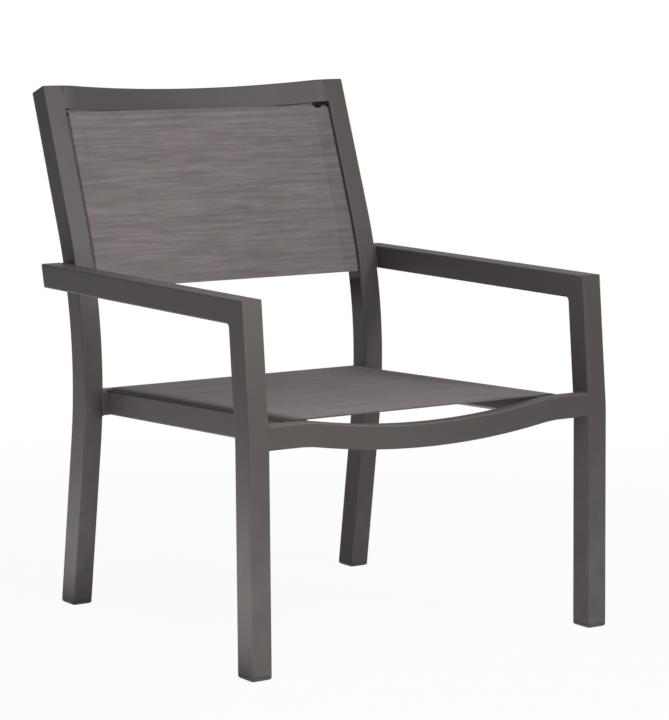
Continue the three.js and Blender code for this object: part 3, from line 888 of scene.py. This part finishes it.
def plate(outline_at, insets, heights, place):
    """A moulded plate with a rounded rim: rings that draw in by an inset as they rise to a height."""
    return np.stack([place(*outline_at(inset).T, height) for inset, height in zip(insets, heights)])


def rim(thickness, rounding, steps=6):
    """Insets and heights of a rim: straight up, then a quarter circle inwards."""
    angle = np.linspace(0, pi / 2, steps + 1)
    insets = np.concatenate([[0], rounding * (1 - np.cos(angle))])
    heights = np.concatenate([[0], thickness - rounding + rounding * np.sin(angle)])
    return insets, heights


def glide(line, depth, inner_x):
    """The level foot under a tube: its outline drawn in by a quarter circle down to the floor, with
    a fine seam under the tube."""
    lean = line.lean_below
    length = depth / cos(lean)
    start = line.foot + GLIDE_HEIGHT * tan(lean) + LEG_FRONT_Y

    def outline_at(inset):
        width, deep = TUBE_WIDTH - 2 * inset, length - 2 * inset
        return tube_outline(inner_x + inset, start + inset, width, deep, TUBE_CORNER)

    def place(x, y, height):
        return points(x, y, GLIDE_HEIGHT - height)

    insets, heights = rim(GLIDE_HEIGHT, GLIDE_ROUND)
    insets = np.concatenate([[GLIDE_SEAM, GLIDE_SEAM, 0], insets[1:]])
    heights = np.concatenate([[0, 0.0007, 0.0009], heights[1:]])
    return plate(outline_at, insets, heights, place)


def cap(inner_x, depth, place):
    """The plate that closes a tube's end: the tube's outline with a rounded rim, put in its place."""
    def outline_at(inset):
        width, deep = TUBE_WIDTH - 2 * inset, depth - 2 * inset
        return tube_outline(inner_x + inset, inset, width, deep, TUBE_CORNER - CAP_CORNER_SHARE * inset)

    return plate(outline_at, *rim(CAP_THICKNESS, CAP_ROUND), place)


def post_cap():
    """The cap on the post's top, square to the post."""
    up = upward(post_line.lean_above)
    return cap(POST_INNER_X, POST_DEPTH, lambda x, depth, height: (
        post_line.at(POST_RUN - CAP_THICKNESS, depth, x) + height * up
    ))


def arm_cap():
    """The cap on the arm's rear end, in the plane of its cut."""
    return cap(ARM_INNER_X, ARM_DEPTH, lambda x, depth, height: (
        arm_points(arm_rear(depth), depth, x) + height * arm_end_normal
    ))


def drawn_in(loop, direction, amount):
    """A loop whose points less than an amount behind its foremost one, along a direction, move up to
    that amount."""
    place = loop @ np.array(direction)
    shift = np.maximum(place.min() + amount - place, 0)
    return loop + shift[:, None] * np.array(direction)


def bead(loop, normal, radius=BEAD_RADIUS):
    """Weld bead along a closed loop in a plane: circles square to the path, one a step, whose radius
    swells by |sin| at each ripple."""
    closed = np.concatenate([loop, loop[:1]])
    run = np.concatenate([[0], np.cumsum(np.linalg.norm(np.diff(closed, axis=0), axis=1))])
    s = np.linspace(0, run[-1], int(run[-1] / BEAD_STEP), endpoint=False)
    centre = np.stack([np.interp(s, run, axis) for axis in closed.T], -1)
    along = np.roll(centre, -1, 0) - np.roll(centre, 1, 0)
    along /= np.linalg.norm(along, axis=1, keepdims=True)
    normal = np.array(normal, float)
    out = np.cross(along, normal)
    angle = np.linspace(0, 2 * pi, 8, endpoint=False)[:, None]
    swell = radius * (BEAD_SMALLEST + BEAD_SWELL * np.abs(np.sin(pi * s / BEAD_PITCH)))
    return centre[:, None] + swell[:, None, None] * (np.cos(angle) * out[:, None] + np.sin(angle) * normal)


def arm_weld_outline(inset, corner):
    """Round rectangle in the arm's along and depth, over the post's depth: it is sheared so that its
    ends lie in the post's front and rear planes."""
    reach = arm_heading @ arm_end_normal
    width = POST_DEPTH / reach
    along, depth = tube_outline(inset, inset, width - 2 * inset, ARM_DEPTH - 2 * inset, corner).T
    return arm_rear(depth) + CAP_THICKNESS / reach - width + along, depth


def arm_weld_pad():
    """The weld metal that fills the gap between the arm and the post."""
    along, depth = arm_weld_outline(PAD_INSET, PAD_CORNER)
    x = np.array([POST_OUTER_X - PAD_BURY, ARM_INNER_X + PAD_BURY])[:, None]
    return arm_points(along, depth, x)


def arm_weld_bead():
    """The bead round the pad's rim, in the middle of the gap."""
    along, depth = arm_weld_outline(ARM_BEAD_INSET, ARM_BEAD_CORNER)
    return bead(arm_points(along, depth, (POST_OUTER_X + ARM_INNER_X) / 2), (1, 0, 0), ARM_BEAD_RADIUS)


def fillet(corner, first, second, x):
    """Concave weld fillet: a quarter ellipse from the end of one reach out of a corner to the end of
    the other, carried between places in x or along it."""
    angle = np.linspace(0, pi / 2, 9)[:, None]
    arc = (1 - np.sin(angle)) * first + (1 - np.cos(angle)) * second
    bury = -FILLET_BURY * (first / np.linalg.norm(first) + second / np.linalg.norm(second))
    return np.array(corner) + np.concatenate([arc, [bury]]) + np.array(x)[:, None, :]


def corner_weld():
    """Fillet under the arm behind the leg, between the arm's underside and the leg's rear face."""
    inset, r = CORNER_WELD_INSET, CORNER_WELD_RADIUS
    ends = [(ARM_INNER_X + inset, 0, 0), (ARM_INNER_X + TUBE_WIDTH - inset, 0, 0)]
    return fillet(inner_corner * (0, 1, 1), r * arm_heading, -r * leg_up, ends)


def lower_rail_corner_weld():
    """Fillet under the lower back rail's end, between its underside and the post's inner face."""
    low = post_line.at(LOWER_RAIL_RUN + 0.0005, LOWER_RAIL_SETBACK, POST_INNER_X)
    lean = float(post_line.lean(LOWER_RAIL_RUN))
    ends = [reach * backward(lean) for reach in (RAIL_FILLET_INSET, RAIL_DEPTH - RAIL_FILLET_INSET)]
    return fillet(low, np.array([-RAIL_FILLET_WIDTH, 0, 0]), -RAIL_FILLET_DROP * upward(lean), ends)


def cloth_faces(line, upper, lower):
    """Both faces of a cloth as one closed outline a row: a curve in its plane, pushed along its
    normal by an upper and a lower thickness."""
    step = np.gradient(line, axis=0)
    normal = np.stack([-step[:, 1], step[:, 0]], -1) / np.linalg.norm(step, axis=1, keepdims=True)
    return both_faces(line + upper[..., None] * normal, line - lower[..., None] * normal)


def both_faces(upper, lower):
    """Values on the two faces, in the order of the cloth's outline."""
    return np.concatenate([upper, lower[:, ::-1]], axis=1)


def hem_rise(from_side, from_end):
    """Extra thickness where the cloth is folded double: a smooth step at the hem's width from a side
    or an end."""
    side = fading(from_side, HEM_RISE, HEM_WIDTH, HEM_FOLD)
    return np.maximum(side, fading(from_end, HEM_RISE, END_HEM_WIDTH, HEM_FOLD))


def back_sling():
    """Flat between the posts' channels and bent with the posts, all at the depth of the channels. The
    side hems' open ends show as mouths at the top, painted dark as shade, and shade is painted on each
    hem where it goes into its channel. Gives the grid, its UV, the hem values and the painted shade values."""
    x = fine_ends(-BACK_EDGE_X, BACK_EDGE_X, SIDE_MARGIN, 0.010)
    run = fine_ends(BACK_SLING_FOOT, BACK_SLING_HEAD, END_MARGIN, 0.006)[:, None]
    right = x > 0
    from_post = POST_INNER_X - np.abs(x)
    from_top = BACK_SLING_HEAD - run
    right_mouth = np.interp(from_post, RIGHT_MOUTH_PLACES, RIGHT_MOUTH_DEPTHS)
    left_mouth = np.interp(from_post, LEFT_MOUTH_PLACES, LEFT_MOUTH_DEPTHS)
    mouth_depth = np.where(right, right_mouth, left_mouth)
    mouth = fading(from_top, 1, mouth_depth, 0.001)
    brim = fading(from_top, 1, np.minimum(mouth_depth, MOUTH_HOLLOW), 0.0006)
    crease_shade = np.where(right, fading(from_post, *BACK_CREASE_SHADE_RIGHT), fading(from_post, *BACK_CREASE_SHADE_LEFT))
    pocket = both_faces(np.maximum(crease_shade, brim), np.maximum(crease_shade, mouth))
    # Hem: full on the right, weaker on the left, the difference being painted shade
    hem = fading(from_post, np.where(right, 1, BACK_HEM_SHADE_LEFT), HEM_WIDTH, 0.004) + 0 * run
    half = CLOTH_THICKNESS / 2 + hem_rise(from_post, np.minimum(from_top, run - BACK_SLING_FOOT))
    section = cloth_faces(np.stack([x, 0 * x], -1), half, half - MOUTH_HOLLOW * mouth)
    raised = np.where(right, fading(from_post, BACK_CORNER_RISE, RIGHT_MOUTH, 0.002), 0)
    lifted = both_faces(run + raised * smooth_step(1 - from_top / 0.02), run + 0 * raised)
    grid = post_line.at(lifted, CHANNEL_FROM_FRONT + section[..., 1], section[..., 0])
    uv = np.stack(np.broadcast_arrays(section[..., 0], run), -1)
    return grid, uv, both_faces(hem, hem), pocket


def seat_sling():
    """Level between the side rails' channels, with a quarter roll down into each of them, where shade is
    painted on it. Gives the grid, its UV, the hem values and the painted shade values, and the flat width
    and length."""
    angle = np.linspace(pi / 2, 0, 7)
    top = SEAT_SLING_LIFT + CLOTH_THICKNESS / 2
    roll_x = CHANNEL_X - SEAT_ROLL + SEAT_ROLL * np.cos(angle)
    roll_z = top - SEAT_ROLL + SEAT_ROLL * np.sin(angle)
    tip = [[CHANNEL_X, -BORE_DEPTH + SPLINE_RADIUS]]
    right = np.concatenate([np.stack([roll_x, roll_z], -1), tip])
    span = fine_ends(-roll_x[0], roll_x[0], SIDE_MARGIN, 0.010)[1:-1]
    line = np.concatenate([right[::-1] * (-1, 1), np.stack([span, 0 * span + top], -1), right])
    start, end = SEAT_FRONT + SEAT_GAP, SEAT_REAR - SEAT_GAP
    y = fine_ends(start, end, END_MARGIN, 0.008)[:, None]
    length = np.concatenate([[0], np.cumsum(np.linalg.norm(np.diff(line, axis=0), axis=1))])
    from_side = np.minimum(length, length[-1] - length)
    rise = hem_rise(from_side, np.minimum(y - start, end - y))
    front_lip = fading(y - start, SEAT_FRONT_LIP, END_HEM_WIDTH, LIP_FADE)
    rear_lip = fading(end - y, SEAT_REAR_LIP, END_HEM_WIDTH, LIP_FADE)
    level = smooth_step((from_side - 0.012) / 0.006)
    upper = CLOTH_THICKNESS / 2 + (rise + rear_lip) * smooth_step((from_side - 0.004) / 0.004)
    lower = CLOTH_THICKNESS / 2 + (rise + front_lip) * level
    section = cloth_faces(line, upper, lower)
    grid = points(section[..., 0], y + LEG_FRONT_Y, seat_fall(y) + section[..., 1])
    across = length - length[-1] / 2 + 0 * y
    uv = np.stack(np.broadcast_arrays(both_faces(across, across), y), -1)
    left = line[:, 0] < 0
    # Hem: full on the left, weaker on the right, the difference being painted shade
    hem = fading(from_side, np.where(left, 1, SEAT_HEM_SHADE_RIGHT), HEM_WIDTH, 0.006) + 0 * y
    crease_shade = np.where(left, fading(from_side, *SEAT_CREASE_SHADE_LEFT), fading(from_side, *SEAT_CREASE_SHADE_RIGHT))
    crease_shade = crease_shade + 0 * y
    return grid, uv, both_faces(hem, hem), both_faces(crease_shade, crease_shade), length[-1], end - start


def seat_level(x, y, lift):
    """Points on the seat's cloth: at x and y, and lifted off its middle layer."""
    middle = seat_fall(y) + SEAT_SLING_LIFT + CLOTH_THICKNESS / 2
    return points(x, y + LEG_FRONT_Y, middle + lift)


def stitch_row(low, high, across):
    """Both ends of each stitch of a row, as places along it, for one line across it."""
    middle = np.arange(low + STITCH_PITCH, high - STITCH_PITCH / 2, STITCH_PITCH)
    ends = middle + np.array([[-0.5], [0.5]]) * STITCH_LENGTH
    return ends, across + 0 * ends


def stitches(ends, away):
    """Stitches that lie half sunk in the cloth: five-sided capsules from end to end, thinner at both."""
    low, high = ends
    along = high - low
    side = np.cross(along, away)
    side /= np.linalg.norm(side, axis=1, keepdims=True)
    out = np.cross(side, along)
    out /= np.linalg.norm(out, axis=1, keepdims=True)
    angle = np.linspace(0, 2 * pi, 5, endpoint=False)[:, None]
    share = np.array([0, 0.2, 0.8, 1])[:, None, None]
    radius = THREAD_RADIUS * np.array([0.3, 1, 1, 0.3])[:, None, None]
    ray = np.cos(angle) * side[:, None, None] + np.sin(angle) * out[:, None, None]
    return low[:, None, None] + share * along[:, None, None] + radius * ray


def back_stitching():
    """Rows along both side hems and both end hems, on the front and the back."""
    face = CLOTH_THICKNESS / 2 + HEM_RISE
    seam_x = POST_INNER_X - HEM_WIDTH + BACK_SEAM
    seam_ends = BACK_SLING_FOOT + END_HEM_WIDTH - BACK_SEAM, BACK_SLING_HEAD - END_HEM_WIDTH + BACK_SEAM
    rows = []
    for depth in (CHANNEL_FROM_FRONT - face, CHANNEL_FROM_FRONT + face):
        for side in (-1, 1):
            run, x = stitch_row(BACK_SLING_FOOT, BACK_SLING_HEAD - BACK_SEAM_STOP, side * seam_x)
            rows.append(post_line.at(run, depth, x))
        for level in seam_ends:
            x, run = stitch_row(HEM_WIDTH - POST_INNER_X, POST_INNER_X - HEM_WIDTH, level)
            rows.append(post_line.at(run, depth, x))
    return stitches(np.concatenate(rows, axis=1), np.array([0, -1.0, 0.2]))


def seat_stitching():
    """Rows along both side hems and both end hems, on top and underneath."""
    face = CLOTH_THICKNESS / 2 + HEM_RISE
    start, end = SEAT_FRONT + SEAT_GAP, SEAT_REAR - SEAT_GAP
    front_seam, rear_seam = start + END_HEM_WIDTH - SEAT_END_SEAM, end - END_HEM_WIDTH + SEAT_END_SEAM
    rows = []
    for way, front_lift, rear_lift in ((1, 0, SEAT_REAR_LIP), (-1, SEAT_FRONT_LIP, 0)):
        for side in (-1, 1):
            y, x = stitch_row(start, end, side * (CHANNEL_X - HEM_WIDTH + SEAT_SIDE_SEAM))
            rows.append(seat_level(x, y, way * face))
        for seam, extra in ((front_seam, front_lift), (rear_seam, rear_lift)):
            x, y = stitch_row(HEM_WIDTH - CHANNEL_X, CHANNEL_X - HEM_WIDTH, seam)
            rows.append(seat_level(x, y, way * (face + extra)))
    return stitches(np.concatenate(rows, axis=1), np.array([0, 0, 1.0]))


top_rail = bowed_rail(POST_RUN - TOP_RAIL_HEIGHT, TOP_RAIL_HEIGHT, 0, TOP_RAIL_BOW, FLUSH_OVERLAP)
# Painted shade under the top rail's ends, above the hems' mouths, where the rail's underside lies in shadow
rail_below = tube_outline(0, 0, TOP_RAIL_HEIGHT, RAIL_DEPTH, RAIL_CORNER)[:, 0] < 0.0012
rail_x = top_rail[:, 0, 0]
over_mouth = np.where(rail_x > 0, RIGHT_MOUTH, LEFT_MOUTH) + 0.0005 - (POST_INNER_X - np.abs(rail_x))
rail_grime = smooth_step(over_mouth / 0.001)[:, None] * rail_below
lower_rail = bowed_rail(LOWER_RAIL_RUN, LOWER_RAIL_HEIGHT, LOWER_RAIL_SETBACK, LOWER_RAIL_BOW)

# The side rail is lighter on its two lower corners, as wear and as a painted highlight, and has painted
# shade on top and in its channel
side_outline = side_rail_outline()
side_rail = along_seat(side_outline, SEAT_FRONT, SEAT_REAR, 12)
below = 2 * CORNER_POINTS
side_edge = np.concatenate([np.tile(CORNER_EDGE, 2), np.zeros(len(side_outline) - below)])
side_grime = SHADE_BY_RAIL * (np.arange(len(side_outline)) > below)
post, post_grime = back_post()
post_edge = np.concatenate([TUBE_EDGE, np.zeros(post.shape[1] - len(TUBE_EDGE))])

pair("front_leg", front_leg(), paint, "frame", edge=TUBE_EDGE)
pair("arm", arm(), paint, "frame", edge=TUBE_EDGE)
pair("back_post", post, paint, "frame", edge=post_edge, grime=post_grime)
piece("top_rail", top_rail, paint, "frame", ("top_rail",), edge=TUBE_EDGE, grime=rail_grime)
piece("lower_back_rail", lower_rail, paint, "frame", ("lower_back_rail",), edge=TUBE_EDGE)
piece("front_seat_rail", front_rail(), paint, "frame", ("front_seat_rail",), edge=TUBE_EDGE)
piece("rear_seat_rail", rear_rail(), paint, "frame", ("rear_seat_rail",), edge=TUBE_EDGE)
pair("seat_side_rail", side_rail, paint, "frame", edge=side_edge, grime=side_grime)
pair("front_glide", glide(leg_line, LEG_DEPTH, ARM_INNER_X), nylon, "moulding")
pair("rear_glide", glide(post_line, POST_DEPTH, POST_INNER_X), nylon, "moulding")
pair("post_cap", post_cap(), paint, "moulding")
pair("arm_cap", arm_cap(), paint, "moulding")

# Welds: a bead round each rail's end, kept behind the faces that are ground flush, and the metal
# that fills the gaps and corners
sideways, backwards, downwards = (1.0, 0, 0), (0, 1.0, 0), (0, 0, -1.0)
rail_down = -upward(float(post_line.lean(POST_RUN - TOP_RAIL_HEIGHT / 2)))
top_loop = drawn_in(top_rail[-1], backwards, amount=0.004) - (FLUSH_OVERLAP, 0, 0)
top_loop = drawn_in(top_loop, rail_down, amount=0.0016)
front_loop = drawn_in(front_rail()[-1], backwards, amount=0.0015)
hull = np.delete(side_rail, np.arange(3 * CORNER_POINTS, len(side_outline) - CORNER_POINTS), axis=1)
beads = {
    "top_rail_weld": bead(top_loop, sideways),
    "lower_rail_weld": bead(lower_rail[-1], sideways),
    "rear_rail_weld": bead(rear_rail()[-1], sideways),
    "front_rail_weld": bead(front_loop, sideways),
    "side_rail_front_weld": bead(drawn_in(hull[0], downwards, amount=0.003), backwards),
    "side_rail_rear_weld": bead(drawn_in(hull[-1], downwards, amount=0.003), backwards),
    "arm_weld_bead": arm_weld_bead(),
}
for name, grid in beads.items():
    pair(name, grid, paint, "frame", replaces=False, ring=True, sharp=80, edge=0)
fillers = {
    "arm_weld_pad": arm_weld_pad(),
    "arm_corner_weld": corner_weld(),
    "lower_rail_corner_weld": lower_rail_corner_weld(),
}
for name, grid in fillers.items():
    pair(name, grid, paint, "frame", replaces=False, edge=0)

back_grid, back_uv, back_hem, back_shade = back_sling()
back_cloth = piece(
    "back_sling", back_grid, cloth, "sling", ("back_sling",), uv=back_uv, hem=back_hem, pocket=back_shade
)
back_sewing = piece("back_sling_stitching", back_stitching(), thread, "sling")
seat_grid, seat_uv, seat_hem, seat_shade, seat_width, seat_length = seat_sling()
seat_cloth = piece(
    "seat_sling", seat_grid, cloth, "sling", ("seat_sling",), uv=seat_uv, hem=seat_hem, pocket=seat_shade
)
seat_sewing = piece("seat_sling_stitching", seat_stitching(), thread, "sling")

for name in ("seat_spline_left", "seat_spline_right", "back_spline_left", "back_spline_right"):
    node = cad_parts[name]
    node.data.materials.clear()
    node.data.materials.append(vinyl)

# Camera: its place and turn, and the photograph's width and focal length in pixels
PICTURE_WIDTH = 669
FOCAL_PIXELS = 2875.6
SHIFT_PIXELS = -6.66
SENSOR_WIDTH = 36
EYE_PLACE = (-2.7044, LEG_FRONT_Y - 3.6921, 1.0882)
EYE_TURN = (radians(90 - 7.557), 0, radians(-34.28))

# Lamps: name, place, what it is aimed at, size in metres and power in watts
LAMPS = (
    ("key", (-0.26, -0.97, 1.62), (0, 0, 0.45), 0.7, 9.3),
    ("front_right_far", (1.20, -3.40, 2.90), (0, 0, 0.45), 0.9, 13),
    ("front_right_near", (1.30, -2.40, 2.20), (0, 0, 0.45), 0.5, 23),
    ("left_leg", (-0.30, -0.80, 0.70), (-0.33, 0, 0.50), 0.2, 0.92),
    ("floor_in_front", (-0.70, -0.50, 0.004), (-0.70, -0.50, 1.0), 0.5, 1.8),
    ("floor_on_left", (-0.65, 0.20, 0.004), (-0.65, 0.20, 1.0), 0.5, 2.0),
    ("behind", (0.37, 2.11, 2.88), (0, 0, 0.5), 1.6, 9),
)

FLOOR_REACH = 6.0
FLOOR_LEVEL = -0.0002


def camera():
    """A long lens in front of the chair's left, a little above the seat."""
    lens = bpy.data.cameras.new("camera")
    lens.sensor_fit = "HORIZONTAL"
    lens.sensor_width = SENSOR_WIDTH
    lens.lens = FOCAL_PIXELS / PICTURE_WIDTH * SENSOR_WIDTH
    lens.shift_x = SHIFT_PIXELS / PICTURE_WIDTH
    eye = add_to_scene("camera", lens)
    eye.location = EYE_PLACE
    eye.rotation_euler = EYE_TURN
    bpy.context.scene.camera = eye


def area_light(name, place, aim, size, power):
    """A soft square lamp at a place, turned to face an aim."""
    lamp = bpy.data.lights.new(name, "AREA")
    lamp.size = size
    lamp.energy = power
    thing = add_to_scene(name, lamp)
    thing.location = place
    away = np.array(place) - np.array(aim)
    thing.rotation_euler = (atan2(np.hypot(away[0], away[1]), away[2]), 0, atan2(away[0], -away[1]))
    thing.visible_camera = False


def studio():
    """White surroundings for the eye, and soft lamps for the chair."""
    world = bpy.data.worlds.new("studio")
    bpy.context.scene.world = world
    world.use_nodes = True
    world.node_tree.nodes.clear()
    wire = Wiring(world.node_tree)
    sky = {"Color": WHITE, "Strength": SKY_LIGHT}
    lit = wire.add("Background", sky).outputs[0]
    sky = {"Color": WHITE, "Strength": white_light(wire, SKY_MIRRORED)}
    seen = wire.add("Background", sky).outputs[0]
    mixed = wire.add("MixShader", {0: seen_ray(wire), 1: lit, 2: seen}).outputs[0]
    wire.add("OutputWorld", {0: mixed})
    for lamp in LAMPS:
        area_light(*lamp)


def floor():
    """The plain floor that the chair stands on."""
    mesh = bpy.data.meshes.new("floor")
    corners = np.array([(-1, -1, 0), (1, -1, 0), (1, 1, 0), (-1, 1, 0)]) * FLOOR_REACH
    mesh.from_pydata((corners + (0, 0, FLOOR_LEVEL)).tolist(), [], [(0, 1, 2, 3)])
    mesh.materials.append(pale_floor())
    ground = add_to_scene("floor", mesh)


camera()
studio()
floor()
bpy.context.scene.view_settings.view_transform = "Standard"
